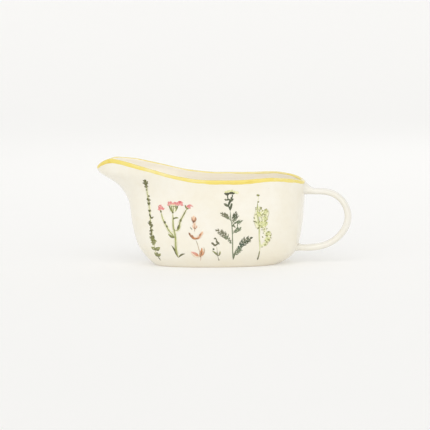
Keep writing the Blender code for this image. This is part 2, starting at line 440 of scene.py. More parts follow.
def plain_floor():
    """Pale translucent table top, lit a little from below."""
    nodes = Nodes("floor_paper", 0.75, 0.0)
    grain = nodes.ramp(nodes.noise(14.0, 2.0), 0.2, 0.8)
    put(nodes.shader, Emission_Color=(1.0, 1.0, 1.0, 1.0), Emission_Strength=FLOOR_GLOW)
    return nodes.finish(nodes.mix(grain, FLOOR_COLOUR, tuple(c * 0.997 for c in FLOOR_COLOUR)))


# ---- the bowl

COLUMNS = 320
WALL_ROWS = 84
HOLLOW_RINGS = 8
HOLLOW_ARCH = 0.35
RING_CORNER = 0.5
CORNER_REACH = 0.9
SOLE_MARGIN = 1.2
ROUNDED_UP_TO = 1.3
LIP_RINGS = 15
# Inside: where the bend to the floor starts, and where the floor does.
BEND_FROM = 14.0
BEND_RINGS = 17
BEND_PULL = 1.1
FLOOR_INSET = 13.0
FLOOR_HEIGHT = WALL + 0.6
FLOOR_DISH = 0.25
FLOOR_RINGS = 9


def up_by(height):
    return np.array((0.0, 0.0, height))


def middle_line(turn, height):
    """The ring drawn in to the bowl's middle line, the same from both sides so that it closes."""
    ring = wall(turn, 0.0, FOOT_HALF_WIDTH)
    opposite = ring[-np.arange(len(turn))]
    return (ring + opposite) * (0.5, 0.0, 0.0) + up_by(height)


def lip_points(frames, across, high):
    point, outward, upward = frames
    return point + outward * (across - WALL / 2.0) + upward * high


def underside(turn):
    """Rings from the hollow's middle line out over the foot ring and round its outer edge."""
    rows = [middle_line(turn, FOOT_RECESS + HOLLOW_ARCH)]
    corner = FOOT_RING_WIDTH + RING_CORNER
    for share in np.linspace(0.0, 1.0, HOLLOW_RINGS)[1:]:
        inset = FOOT_HALF_WIDTH + (corner - FOOT_HALF_WIDTH) * share
        rows.append(wall(turn, 0.0, inset) + up_by(FOOT_RECESS + HOLLOW_ARCH * (1.0 - share ** 2)))
    for bend in np.radians((30.0, 60.0, 90.0)):
        inset = corner - CORNER_REACH * math.sin(bend / 2.0)
        rows.append(wall(turn, 0.0, inset) + up_by(FOOT_RECESS * math.cos(bend) ** 1.5))
    for inset in (FOOT_RING_WIDTH - SOLE_MARGIN, FOOT_ROUNDING + SOLE_MARGIN):
        rows.append(wall(turn, 0.0, inset))
    for bend in np.radians((0.0, 18.0, 36.0, 54.0, 72.0)):
        height = FOOT_ROUNDING * (1.0 - math.cos(bend))
        rows.append(wall(turn, height, FOOT_ROUNDING * (1.0 - math.sin(bend))))
    return rows


def inner_floor(turn, start, down):
    """Rings from the inner wall in one easy bend to the floor, and in to its middle line."""
    floor = wall(turn, 0.0, FLOOR_INSET) + up_by(FLOOR_HEIGHT)
    inward = unit(wall(turn, 0.0, FLOOR_INSET + 1.0) - wall(turn, 0.0, FLOOR_INSET))
    length = np.linalg.norm(floor - start, axis=-1, keepdims=True) * BEND_PULL
    steps = np.linspace(0.0, 1.0, BEND_RINGS)[1:]
    rows = [hermite(t, start, length * down, floor, length * inward) for t in steps]
    for share in np.linspace(0.0, 1.0, FLOOR_RINGS)[1:-1]:
        inset = FLOOR_INSET + (FOOT_HALF_WIDTH - FLOOR_INSET) * share
        rows.append(wall(turn, 0.0, inset) + up_by(FLOOR_HEIGHT - FLOOR_DISH * math.sin(share * 1.57)))
    rows.append(middle_line(turn, FLOOR_HEIGHT - FLOOR_DISH))
    return rows


def make_bowl(glaze):
    turn = turns(COLUMNS)
    rows = underside(turn)
    ups = even_ends(WALL_ROWS, 0.5)[1:]
    rows += [wall(turn, up * rim_height(turn)) for up in ups if up * LOWEST_RIM > ROUNDED_UP_TO]
    edge = wall_frames(turn, 1.0)
    crest = len(rows) + LIP_RINGS // 2
    for bend in np.radians(np.linspace(0.0, 180.0, LIP_RINGS)[1:]):
        rows.append(lip_points(edge, WALL / 2.0 * math.cos(bend), LIP_HEIGHT * math.sin(bend)))
    for up in ups[::-1][1:]:
        if up * MIDDLE_RIM > BEND_FROM:
            point, outward, _ = wall_frames(turn, up)
            rows.append(point - outward * WALL)
    rows += inner_floor(turn, rows[-1], unit(rows[-1] - rows[-2]))
    points, faces = loft(rows)
    bowl = new_object("bowl_glazed", points, faces, glaze)
    # Marks the inside rows, which the glaze paints paler as painted light for the shaded hollow.
    inside = np.zeros(len(rows))
    inside[crest:] = 1.0
    keep(bowl, "inside", np.repeat(inside, len(turn)))
    weld(bowl)
    return place(bowl, "cream_glaze", "bowl")


# ---- the handle

# Strap's centre line in the XZ plane (x, z), thickness and width.
STRAP = (
    (77.0, 59.0, 5.3, 11.2),
    (84.5, 58.6, 5.2, 10.6),
    (92.0, 56.3, 5.3, 10.4),
    (98.2, 51.3, 5.4, 10.2),
    (101.9, 44.6, 5.6, 10.2),
    (103.0, 37.1, 5.8, 10.2),
    (101.2, 29.8, 5.8, 10.2),
    (97.1, 23.5, 5.7, 10.2),
    (91.4, 18.4, 5.6, 10.4),
    (84.6, 14.9, 5.5, 10.8),
    (77.3, 13.1, 5.5, 11.2),
    (71.5, 12.6, 5.5, 11.6),
)
# Where each root meets the wall: middle height, half height up and down, half width, and how far
# its top and its underside lean into the wall instead of meeting it square (0..1).
UPPER_ROOT = (60.2, 7.5, 3.9, 6.9, 0.50, 0.15)
LOWER_ROOT = (12.6, 3.6, 3.2, 6.7, 0.35, 0.30)
STRAP_ROUNDNESS = 2.35
STRAP_WANDER = 0.05
STRAP_RINGS = 130
ROOT_RINGS = 20
RING_POINTS = 56
ROOT_PULL = 1.1
ROOT_SUNK = 0.08
ROOT_INSIDE = 1.2
RING_TURNS = np.linspace(0.0, 2.0 * math.pi, RING_POINTS, endpoint=False)


def spline(points, count):
    """A curve with smooth curvature through the points, at count even places: a natural cubic."""
    points = np.array(points, float)
    chord = np.concatenate(([0.0], np.cumsum(np.linalg.norm(np.diff(points[:, :2], axis=0), axis=1))))
    n = len(points)
    h = np.diff(chord)
    system, right = np.eye(n), np.zeros((n, points.shape[1]))
    for i in range(1, n - 1):
        system[i, i - 1], system[i, i], system[i, i + 1] = h[i - 1], 2.0 * (h[i - 1] + h[i]), h[i]
        right[i] = 6.0 * ((points[i + 1] - points[i]) / h[i] - (points[i] - points[i - 1]) / h[i - 1])
    second = np.linalg.solve(system, right)
    places = np.linspace(0.0, chord[-1], count)
    i = np.clip(np.searchsorted(chord, places, side="right") - 1, 0, n - 2)
    a = ((chord[i + 1] - places) / h[i])[:, None]
    b = ((places - chord[i]) / h[i])[:, None]
    bend = ((a ** 3 - a) * second[i] + (b ** 3 - b) * second[i + 1]) * (h[i] ** 2)[:, None] / 6.0
    return a * points[i] + b * points[i + 1] + bend


def root_rings(ring, along, root, flip):
    """Rings from the strap's last ring to the wall, flaring out so that they meet it smoothly."""
    middle, up, down, wide, lean_up, lean_down = root
    rise = np.sin(RING_TURNS) * flip

    def on_end(scale, sunk):
        z = middle + np.where(rise > 0.0, up, down) * rise * scale
        y = wide * np.cos(RING_TURNS) * scale
        square, half_width = LEVELS[4](z), LEVELS[3](z)
        turn = np.arcsin(np.clip(np.abs(y) / half_width, 0.0, 1.0) ** (1.0 / (1.0 - square)))
        turn = np.where(y < 0.0, -turn, turn)
        return wall(turn, z) - np.array((sunk, 0.0, 0.0))

    end = on_end(1.0, ROOT_SUNK)
    spread = unit(on_end(1.04, 0.0) - on_end(0.96, 0.0))
    lean = 0.5 * (lean_up + lean_down) + 0.5 * (lean_up - lean_down) * rise
    lean = np.maximum(lean, 0.6 * (1.0 - rise ** 2))[:, None]
    arrive = unit(spread * lean - np.array((1.0, 0.0, 0.0)) * (1.0 - lean))
    pull = np.linalg.norm(end - ring, axis=-1, keepdims=True) * ROOT_PULL
    steps = np.linspace(0.0, 1.0, ROOT_RINGS)[1:]
    rings = [hermite(t, ring, pull * along, end, pull * arrive) for t in steps]
    rings.append(on_end(0.9, ROOT_INSIDE))
    return rings


def make_handle(glaze):
    path = spline(STRAP, STRAP_RINGS)
    centre = np.stack((path[:, 0], np.zeros(STRAP_RINGS), path[:, 1]), -1)
    along = unit(np.gradient(centre, axis=0))
    outward = unit(np.cross(along, (0.0, 1.0, 0.0)))
    across, through = (
        np.sign(wave) * np.abs(wave) ** (2.0 / STRAP_ROUNDNESS)
        for wave in (np.cos(RING_TURNS), np.sin(RING_TURNS))
    )
    wander = STRAP_WANDER * np.sin(np.arange(STRAP_RINGS) / 9.0)
    rings = []
    for i in range(STRAP_RINGS):
        thick, wide = path[i, 2] / 2.0 + wander[i], path[i, 3] / 2.0 - wander[i]
        sideways = np.array((0.0, 1.0, 0.0)) * (wide * across)[:, None]
        rings.append(centre[i] + outward[i] * (thick * through)[:, None] + sideways)
    upper = root_rings(rings[0], -along[0], UPPER_ROOT, 1.0)
    lower = root_rings(rings[-1], along[-1], LOWER_ROOT, -1.0)
    rows = upper[::-1] + rings + lower
    points, faces = loft(rows)
    faces.append(tuple(range(RING_POINTS)))
    faces.append(tuple(reversed(range(len(points) - RING_POINTS, len(points)))))
    handle = new_object("handle_glazed", points, faces, glaze)
    weld(handle)
    return place(handle, "cream_glaze_handle", "handle")


# ---- the yellow band

BAND_COLUMNS = 560
BAND_ROWS = 30
UNDER_ROWS = 7
BAND_RAISED = 0.10
BAND_SUNK = 0.14
BAND_OUTSIDE = 1.50
BAND_INSIDE = 0.55
BAND_INSIDE_LESS = 0.6
BAND_RIM = 74.0
FEATHER_SUNK = 0.015
# Where the brush was fuller on the near and on the far side: from x, to x, how much.
NEAR_LOADS = ((-104.0, -80.0, 0.58), (-80.0, -54.0, 0.28), (-8.0, 30.0, 0.56), (31.0, 45.0, 0.26),
              (54.0, 60.0, 0.26), (63.0, 80.0, 0.26))
FAR_LOADS = ((-110.0, -99.0, 0.35), (-84.0, -33.0, 0.18), (-30.0, -12.0, 0.12), (14.0, 44.0, 0.12),
             (54.0, 80.0, 0.45))


def soft_step(x, at, width):
    return 0.5 + 0.5 * np.tanh((x - at) / width)


def brush_load(x, loads):
    full = np.zeros_like(x)
    for low, high, more in loads:
        full = full + more * soft_step(x, low, 2.2) * soft_step(-x, -high, 2.2)
    return full


def brush(turn):
    """How far below the wall's edge the brush went outside, in millimetres, and its load 0..1."""
    x = wall(turn, MIDDLE_RIM)[..., 0]
    near = soft_step(-np.sin(turn), 0.0, 0.15)
    far_load = brush_load(x, FAR_LOADS)
    load = far_load + (brush_load(x, NEAR_LOADS) - far_load) * near
    load = 0.12 + 0.18 * near + load + 0.07 * np.sin(7.0 * turn + 2.0)
    reach = BAND_OUTSIDE + 1.0 * (load - 0.50)
    reach = reach + 0.13 * np.sin(9.0 * turn + 0.5) + 0.09 * np.sin(23.0 * turn + 1.9)
    return reach + 0.05 * np.sin(57.0 * turn), load


def along_lines(length, values, at):
    """Values given at lengths along one line per column, read at one length per column."""
    columns = np.arange(len(at))
    i = np.clip((length < at).sum(0) - 1, 0, len(length) - 2)
    low, high = length[i, columns], length[i + 1, columns]
    share = ((at - low) / (high - low))[:, None]
    return values[i, columns] * (1.0 - share) + values[i + 1, columns] * share


def over_the_lip(turn):
    """Lines up the outside, round over the lip and down the inside: points and normals, and the
    numbers of the points at the outer and at the inner edge of the wall."""
    line = []
    for depth in (5.0, 4.0, 3.2, 2.6, 2.0, 1.5, 1.0, 0.5):
        point, outward, _ = wall_frames(turn, 1.0 - depth / BAND_RIM)
        line.append((point, outward))
    edge = len(line)
    frames = wall_frames(turn, 1.0)
    for bend in np.radians(np.linspace(0.0, 180.0, 19)):
        cosine, sine = math.cos(bend), math.sin(bend)
        normal = frames[1] * (cosine * LIP_HEIGHT) + frames[2] * (sine * WALL / 2.0)
        line.append((lip_points(frames, WALL / 2.0 * cosine, LIP_HEIGHT * sine), unit(normal)))
    inner_edge = len(line) - 1
    for depth in (0.6, 1.2, 2.0, 3.0):
        point, outward, _ = wall_frames(turn, 1.0 - depth / BAND_RIM)
        line.append((point - outward * WALL, -outward))
    return np.stack([p for p, _ in line]), np.stack([n for _, n in line]), edge, inner_edge


def make_band(glaze):
    """A thin closed skin over the lip, feathered at both edges."""
    turn = turns(BAND_COLUMNS)
    points, normals, edge, inner_edge = over_the_lip(turn)
    steps = np.linalg.norm(np.diff(points, axis=0), axis=-1)
    length = np.concatenate((np.zeros((1, len(turn))), np.cumsum(steps, axis=0)))
    reach, load = brush(turn)
    first = length[edge] - reach
    to_handle = soft_step(wall(turn, MIDDLE_RIM)[..., 0], -25.0, 14.0)
    last = length[inner_edge] - BAND_INSIDE + BAND_INSIDE_LESS * to_handle
    last = last + 0.30 * np.sin(6.0 * turn + 1.0) + 0.12 * np.sin(19.0 * turn)
    rows, loads = [], []

    def add_row(share, raised, fullness):
        at = first + (last - first) * share
        normal = unit(along_lines(length, normals, at))
        rows.append(along_lines(length, points, at) + normal * raised)
        loads.append(load * fullness)

    for share in np.linspace(0.0, 1.0, BAND_ROWS):
        raised = BAND_RAISED * (1.0 - abs(2.0 * share - 1.0) ** 5) - FEATHER_SUNK
        add_row(share, raised, 1.0 - 0.45 * share ** 2)
    for share in np.linspace(1.0, 0.0, UNDER_ROWS):
        add_row(share, -BAND_SUNK - 0.08 * math.sin(math.pi * share), 1.0)
    points, faces = loft(rows, close_rows=True)
    band = new_object("rim_band_brushed", points, faces, glaze)
    keep(band, "load", np.concatenate(loads))
    return place(band, "yellow_glaze", "rim_band")


# ---- the printed plants

OLIVE = (88, 90, 28)
OLIVE_LIGHT = (150, 156, 78)
WASH = (244, 241, 206)
WASH_LIME = (243, 241, 190)
WASH_PEACH = (247, 224, 198)
STEM_GREEN = (158, 164, 92)
PINK = (230, 126, 126)
PINK_DEEP = (212, 88, 98)
PINK_LIGHT = (240, 172, 166)
PEACH = (240, 196, 158)
CORAL = (206, 138, 88)
CORAL_LIGHT = (232, 180, 144)
BROWN = (122, 78, 48)
GREY_GREEN = (104, 104, 74)
GREY_LIGHT = (182, 182, 158)
FOREST = (62, 76, 42)
DARKEST = (44, 52, 16)
FERN = (100, 116, 82)
BLUE_GREEN = (58, 84, 68)
LIME = (222, 224, 148)
LIME_LIGHT = (224, 226, 174)
MOSS = (126, 126, 62)

PRINT_RAISED = 0.055
PRINT_SUNK = 0.05
WASH_LOWER = 0.5
LAYERS = 5
LAYER_STEP = 0.16
# Across a stroke: how far out, and how high against PRINT_RAISED; then back underneath.
STROKE_TOP = ((-1.0, 0.1), (-0.6, 0.85), (0.0, 1.0), (0.6, 0.85), (1.0, 0.1))
STROKE_UNDER = (0.9, 0.0, -0.9)


class Print:
    """One printed plant, drawn in millimetres on the side of the wall: x along the boat, z up.

    Every stroke and leaf is a thin closed form of its own that follows the wall."""

    def __init__(self, foot):
        self.foot = foot
        self.rings, self.colours, self.faces = [], [], []
        self.points = 0

    def ribbon(self, path, half_widths, first, last, low=False):
        """A closed band along the path. Forms drawn in turn lie at slightly different heights."""
        path = np.asarray(path, float)
        ahead = unit(np.gradient(path, axis=0))
        sideways = np.stack((-ahead[:, 1], ahead[:, 0]), -1)
        raised = PRINT_RAISED * (WASH_LOWER if low else 1.0 + LAYER_STEP * (len(self.faces) % LAYERS))
        section = [(out, high * raised) for out, high in STROKE_TOP]
        sunk = PRINT_SUNK * (WASH_LOWER if low else 1.0)
        section += [(out, -sunk) for out in STROKE_UNDER]
        count = len(section)
        for i, width in enumerate(half_widths):
            share = i / (len(path) - 1.0)
            colour = np.array(linear(*first)) * (1.0 - share) + np.array(linear(*last)) * share
            for out, high in section:
                x, z = path[i] + sideways[i] * (width * out)
                self.rings.append((x, z, high))
                self.colours.append((*colour, 1.0))
        start, end = self.points, self.points + count * (len(path) - 1)
        ends = [tuple(range(start + count - 1, start - 1, -1)), tuple(range(end, end + count))]
        _, sides = loft([np.zeros((count, 3))] * len(path))
        self.faces.append(ends + [tuple(start + corner for corner in face) for face in sides])
        self.points += count * len(path)

    def stroke(self, points, width, colour, last=None, low=False):
        count = 4 * len(points) + 3
        path = spline(points, count)
        t = np.linspace(0.0, 1.0, count)
        widths = width / 2.0 * (1.0 - 0.35 * t) * np.minimum(1.0, 6.0 * np.minimum(t, 1.0 - t) + 0.25)
        widths = widths * (1.0 + 0.12 * np.sin(23.0 * t + self.points))
        self.ribbon(path, widths, colour, last or colour, low)

    def wash(self, points, width, colour):
        """A broad pale stroke that lies lower than the drawing on it."""
        self.stroke(points, width, colour, low=True)

    def leaf(self, base, tip, width, colour, last=None, bend=0.0):
        base, tip = np.array(base, float), np.array(tip, float)
        t = np.linspace(0.0, 1.0, 9)
        aside = np.array((base[1] - tip[1], tip[0] - base[0])) * bend
        path = base + (tip - base) * t[:, None] + aside * (4.0 * t * (1.0 - t))[:, None]
        widths = width / 2.0 * np.sin(math.pi * t ** 0.85) ** 0.9 + 0.03
        self.ribbon(path, widths * (1.0 + 0.10 * np.sin(9.0 * t + self.points)), colour, last or colour)

    def leaves(self, *rows):
        for row in rows:
            self.leaf(*row)

    def dot(self, x, z, radius, colour):
        lean = random.uniform(-0.4, 0.4) * radius
        self.leaf((x - lean, z - radius), (x + lean, z + radius), radius * 1.9, colour)

    def tuft(self, x, z, size, count, colour, last, middle=90.0, sweep=220.0):
        """Small leaves that fan out of one point."""
        for k in range(count):
            turned = middle + sweep * (k / (count - 1.0) - 0.5) + random.uniform(-12.0, 12.0)
            reach = size * random.uniform(0.75, 1.1)
            bearing = math.radians(turned)
            tip = (x + reach * math.cos(bearing), z + reach * math.sin(bearing))
            self.leaf((x, z), tip, size * 0.52, colour, last, random.uniform(-0.15, 0.15))

    def frond(self, points, leaflets, length, width, colour, last, start=0.15):
        """A feathered leaf: a rib with cut leaflets by turns on both sides, longest past the middle."""
        self.stroke(points, 0.7, colour, last)
        rib = spline(points, 41)
        for k in range(2 * leaflets + 1):
            share = start + (1.0 - start) * k / (2.0 * leaflets)
            i = min(int(share * 40), 39)
            ahead = unit(rib[i + 1] - rib[i])
            side = (-1.0) ** k if k < 2 * leaflets else 0.0
            shade = last if share > 0.5 else colour
            fullness = 0.4 + 0.6 * math.sin(math.pi * min(share, 0.9) ** 1.5)
            reach = length * fullness * random.uniform(0.8, 1.15)
            for fork, part in ((0.0, 1.0), (24.0, 0.72), (-24.0, 0.66)):
                turned = math.radians(side * (48.0 + random.uniform(-9.0, 9.0)) + fork)
                cosine, sine = math.cos(turned), math.sin(turned)
                turned_ahead = (ahead[0] * cosine - ahead[1] * sine, ahead[0] * sine + ahead[1] * cosine)
                tip = rib[i] + part * reach * np.array(turned_ahead)
                self.leaf(rib[i], tip, width * part, shade, last, 0.10 * side)

    def make(self, name, surface, side, foot):
        """The plant on one side of the bowl: -1 is the side with the plants as drawn."""
        rings = np.array(self.rings)
        x = foot - (rings[:, 0] - self.foot) * side
        points, normals = on_wall(x, rings[:, 1], side)
        faces = [tuple(reversed(face)) for form in self.faces for face in form]
        made = new_object(name, points + normals * rings[:, 2:], faces, surface)
        layer = made.data.color_attributes.new("ink", "FLOAT_COLOR", "POINT")
        layer.data.foreach_set("color", np.array(self.colours, np.float32).ravel())
        return place(made, "plant_print")


def goosefoot(drawn):
    """A tall spike of small green clusters, with two leaves at its foot."""
    stem = ((-59.8, 71.5), (-59.3, 62.5), (-57.8, 51.0), (-56.8, 38.0), (-55.6, 27.0), (-53.6, 15.0),
            (-51.9, 9.0), (-49.8, 5.8))
    drawn.wash(stem, 2.3, WASH)
    drawn.stroke(stem, 0.7, OLIVE_LIGHT, OLIVE)
    for x, z, size in (
            (-60.2, 70.5, 2.1), (-60.3, 71.9, 1.3), (-59.8, 67.4, 1.5), (-58.3, 56.2, 1.5),
            (-58.0, 53.0, 1.4), (-57.5, 47.3, 1.2), (-57.3, 37.6, 1.6), (-56.2, 35.4, 1.6),
            (-56.4, 31.2, 1.5), (-56.6, 28.2, 1.3), (-56.2, 25.0, 1.8), (-55.0, 26.0, 1.5),
            (-54.7, 21.6, 2.2), (-55.4, 23.5, 1.4), (-53.7, 22.6, 1.5)):
        drawn.tuft(x, z - 0.4, 1.35 * size, 7, OLIVE, OLIVE_LIGHT if z < 25.5 else OLIVE, sweep=300.0)
    for x, z, size in ((-59.5, 64.2, 0.75), (-57.9, 59.0, 0.75), (-59.2, 56.8, 0.6), (-56.9, 33.0, 0.6)):
        drawn.dot(x, z, 1.2 * size, OLIVE)
    drawn.stroke(((-57.4, 44.8), (-56.9, 42.4), (-55.9, 41.1), (-54.2, 42.5)), 1.7, OLIVE)
    drawn.leaves(
        ((-52.8, 14.7), (-57.2, 17.2), 2.5, OLIVE, OLIVE_LIGHT),
        ((-53.2, 14.5), (-49.0, 17.4), 3.1, OLIVE, OLIVE_LIGHT),
        ((-53.2, 15.0), (-51.8, 17.3), 1.8, OLIVE_LIGHT, OLIVE),
        ((-51.8, 8.8), (-54.8, 12.6), 2.1, OLIVE, OLIVE_LIGHT),
        ((-52.0, 8.8), (-49.0, 12.0), 2.2, OLIVE, OLIVE_LIGHT),
        ((-51.8, 9.0), (-49.8, 5.4), 1.0, OLIVE),
        ((-52.4, 15.4), (-50.2, 16.8), 0.9, OLIVE_LIGHT, WASH),
        ((-54.0, 15.4), (-55.8, 16.5), 0.7, OLIVE_LIGHT, WASH),
        ((-51.9, 8.8), (-52.0, 13.0), 2.0, OLIVE_LIGHT, OLIVE),
    )


def knapweed(drawn):
    """Four pink flower heads on three green stems."""
    stems = (
        (((-33.9, 8.9), (-35.2, 13.9), (-35.5, 21.0), (-36.0, 29.4), (-37.0, 34.0), (-37.2, 40.0),
          (-37.3, 46.0)), 1.6),
        (((-36.2, 26.0), (-38.9, 29.2), (-41.0, 31.6), (-42.8, 34.8), (-44.7, 38.2), (-46.0, 41.0),
          (-47.4, 46.6)), 1.35),
        (((-35.7, 31.4), (-33.6, 32.2), (-32.0, 34.4), (-31.6, 37.6), (-29.3, 42.6), (-27.2, 46.3),
          (-25.3, 49.6)), 1.5),
    )
    for path, _ in stems:
        drawn.wash(path, 3.0, WASH)
    drawn.wash(((-36.9, 52.8), (-37.1, 49.6), (-37.2, 46.0)), 7.0, WASH)
    for path, width in stems[:2]:
        drawn.stroke(path, width, STEM_GREEN, OLIVE_LIGHT)
    drawn.stroke(*stems[2], OLIVE_LIGHT, OLIVE)
    drawn.leaves(
        ((-34.4, 8.9), (-39.2, 19.4), 1.9, OLIVE, OLIVE, -0.06),
        ((-33.9, 9.0), (-27.9, 12.4), 1.5, OLIVE, GREY_GREEN, 0.12),
        ((-36.2, 25.9), (-41.8, 28.9), 2.1, OLIVE, OLIVE_LIGHT, 0.10),
        ((-36.4, 26.8), (-40.2, 27.2), 1.1, OLIVE, OLIVE_LIGHT, 0.10),
        ((-33.3, 31.5), (-30.8, 37.8), 1.7, OLIVE, OLIVE, 0.10),
        ((-36.9, 40.9), (-32.2, 41.7), 1.3, OLIVE, OLIVE_LIGHT, 0.16),
        ((-36.2, 30.9), (-36.4, 33.2), 1.0, OLIVE),
    )
    for x, z, size in (
            (-44.4, 38.1, 1.15), (-42.7, 34.9, 1.05), (-30.8, 40.0, 1.1), (-47.5, 46.6, 0.8),
            (-37.3, 46.3, 0.9), (-36.7, 41.4, 0.9)):
        drawn.dot(x, z, size, OLIVE)
    # The green cups under the flowers.
    for foot_x, foot_z, tip_x, tip_z, width in (
            (-37.3, 45.8, -41.2, 53.2, 1.4), (-37.2, 46.0, -38.8, 52.6, 0.9),
            (-36.9, 46.5, -36.6, 52.0, 0.8), (-34.9, 47.2, -32.6, 52.4, 1.3),
            (-35.4, 49.2, -34.2, 52.0, 0.8), (-39.6, 51.4, -33.4, 51.4, 0.9),
            (-47.5, 46.4, -48.0, 48.6, 1.1), (-25.2, 49.2, -27.0, 52.7, 1.5),
            (-25.2, 49.0, -23.9, 50.4, 1.2)):
        drawn.leaf((foot_x, foot_z), (tip_x, tip_z), width, OLIVE_LIGHT, OLIVE)
    # The flower heads: a fan of petals each, deeper at the top.
    for x, z, size, middle, sweep, count in (
            (-47.2, 48.7, 3.0, 95.0, 210.0, 10), (-39.3, 53.0, 3.0, 105.0, 190.0, 9),
            (-35.2, 53.0, 2.3, 90.0, 190.0, 8), (-31.0, 52.7, 3.0, 78.0, 190.0, 10),
            (-24.0, 50.6, 2.3, 60.0, 175.0, 9)):
        drawn.tuft(x, z, size, count, PINK_LIGHT, PINK, middle, sweep)
        drawn.tuft(x, z + 0.3, size * 0.72, 5, PINK, PINK_DEEP, middle, sweep * 0.7)
    drawn.leaves(
        ((-41.4, 53.3), (-28.4, 53.6), 1.3, PINK_LIGHT, PINK, 0.02),
        ((-33.0, 54.8), (-28.6, 54.3), 1.5, PINK_DEEP, PINK_DEEP, 0.1),
        ((-25.2, 51.9), (-19.8, 50.8), 1.4, PINK, PINK_LIGHT, 0.18),
        ((-49.4, 49.2), (-46.6, 52.0), 0.9, PINK_DEEP, PINK, 0.3),
        ((-39.0, 52.7), (-33.6, 52.8), 0.9, PEACH),
    )


def coral_herb(drawn):
    """Coral buds over a crescent of leaves, and three coral leaves at the foot."""
    drawn.wash(((-12.6, 31.4), (-15.0, 27.4), (-18.6, 25.4), (-22.4, 27.4), (-24.4, 30.6)),
               3.0, WASH_PEACH)
    drawn.wash(((-23.0, 14.2), (-17.6, 10.6), (-14.4, 11.6), (-13.4, 17.6)), 3.4, WASH_PEACH)
    drawn.wash(((-19.8, 44.2), (-19.4, 38.0), (-19.2, 32.0)), 3.2, WASH_PEACH)
    drawn.stroke(((-19.6, 39.0), (-19.2, 33.7), (-19.4, 30.9)), 0.6, CORAL_LIGHT, BROWN)
    drawn.stroke(((-18.7, 24.4), (-17.4, 20.6), (-16.4, 16.4), (-15.3, 11.0), (-15.9, 6.2)),
                 0.7, GREY_LIGHT, CORAL)
    drawn.leaves(
        ((-19.9, 38.6), (-21.2, 43.4), 1.6, BROWN, CORAL_LIGHT, 0.10),
        ((-19.8, 38.6), (-18.2, 43.2), 1.7, BROWN, CORAL, -0.12),
        ((-19.9, 39.4), (-19.7, 44.0), 1.7, CORAL_LIGHT, PEACH),
    )
    drawn.dot(-19.9, 39.3, 1.15, BROWN)
    drawn.leaves(
        ((-19.3, 33.2), (-20.2, 37.2), 0.8, CORAL_LIGHT, CORAL_LIGHT, 0.2),
        ((-19.2, 33.4), (-17.5, 36.4), 0.7, CORAL_LIGHT, CORAL, -0.25),
        ((-19.2, 33.8), (-19.0, 37.6), 0.8, PEACH, CORAL_LIGHT),
    )
    drawn.dot(-19.1, 33.7, 0.75, BROWN)
    drawn.leaf((-21.2, 32.3), (-23.2, 35.0), 1.0, GREY_LIGHT)
    drawn.stroke(((-18.4, 25.1), (-20.8, 25.8), (-22.7, 27.6), (-24.2, 30.2)), 2.0, CORAL, BROWN)
    drawn.stroke(((-18.8, 25.1), (-16.3, 26.0), (-14.6, 28.0), (-12.8, 31.0)), 2.0, CORAL, CORAL_LIGHT)
    drawn.leaves(
        ((-20.4, 25.9), (-22.3, 28.4), 0.9, BROWN, CORAL, -0.1),
        ((-15.4, 27.2), (-13.9, 29.6), 1.3, BROWN, CORAL, 0.1),
        ((-20.6, 25.7), (-16.4, 25.8), 1.4, CORAL, BROWN, -0.12),
        ((-16.8, 10.1), (-23.2, 14.2), 2.5, CORAL, PINK_LIGHT, -0.06),
        ((-17.0, 10.3), (-21.8, 13.2), 1.2, BROWN, CORAL, -0.10),
        ((-16.6, 10.4), (-14.0, 17.8), 2.4, CORAL, CORAL, -0.10),
        ((-16.2, 9.6), (-14.4, 14.8), 1.4, BROWN, BROWN, -0.08),
        ((-15.4, 10.4), (-12.9, 15.2), 1.5, CORAL, CORAL_LIGHT, -0.1),
        ((-13.9, 10.8), (-12.5, 18.6), 0.9, CORAL, GREY_LIGHT, -0.14),
    )


def chickweed(drawn):
    """A low, dark grey-green herb."""
    drawn.stroke(((-0.9, 6.9), (-1.4, 10.6), (-1.6, 14.6), (-1.8, 19.0)), 0.55, GREY_GREEN, GREY_LIGHT)
    drawn.stroke(((-3.8, 24.6), (-2.8, 25.5), (-1.8, 24.0), (-1.5, 21.8)), 1.2, GREY_GREEN)
    drawn.stroke(((-6.0, 21.8), (-4.3, 20.5), (-3.1, 19.4), (-1.8, 21.0)), 1.9, GREY_GREEN)
    drawn.tuft(-1.4, 21.6, 2.1, 5, GREY_GREEN, FOREST, 20.0, 200.0)
    drawn.leaf((-1.4, 22.2), (0.2, 19.9), 1.3, GREY_GREEN, FOREST, 0.2)
    drawn.dot(-4.5, 16.4, 0.85, FOREST)
    drawn.leaves(
        ((-1.5, 10.6), (-6.0, 15.2), 1.5, GREY_GREEN, OLIVE_LIGHT, -0.08),
        ((-1.3, 10.4), (0.7, 15.0), 1.4, GREY_GREEN, OLIVE_LIGHT, -0.14),
        ((-1.4, 10.6), (-1.7, 15.6), 1.0, GREY_GREEN, GREY_LIGHT),
    )
    drawn.dot(-0.9, 7.1, 0.65, GREY_GREEN)


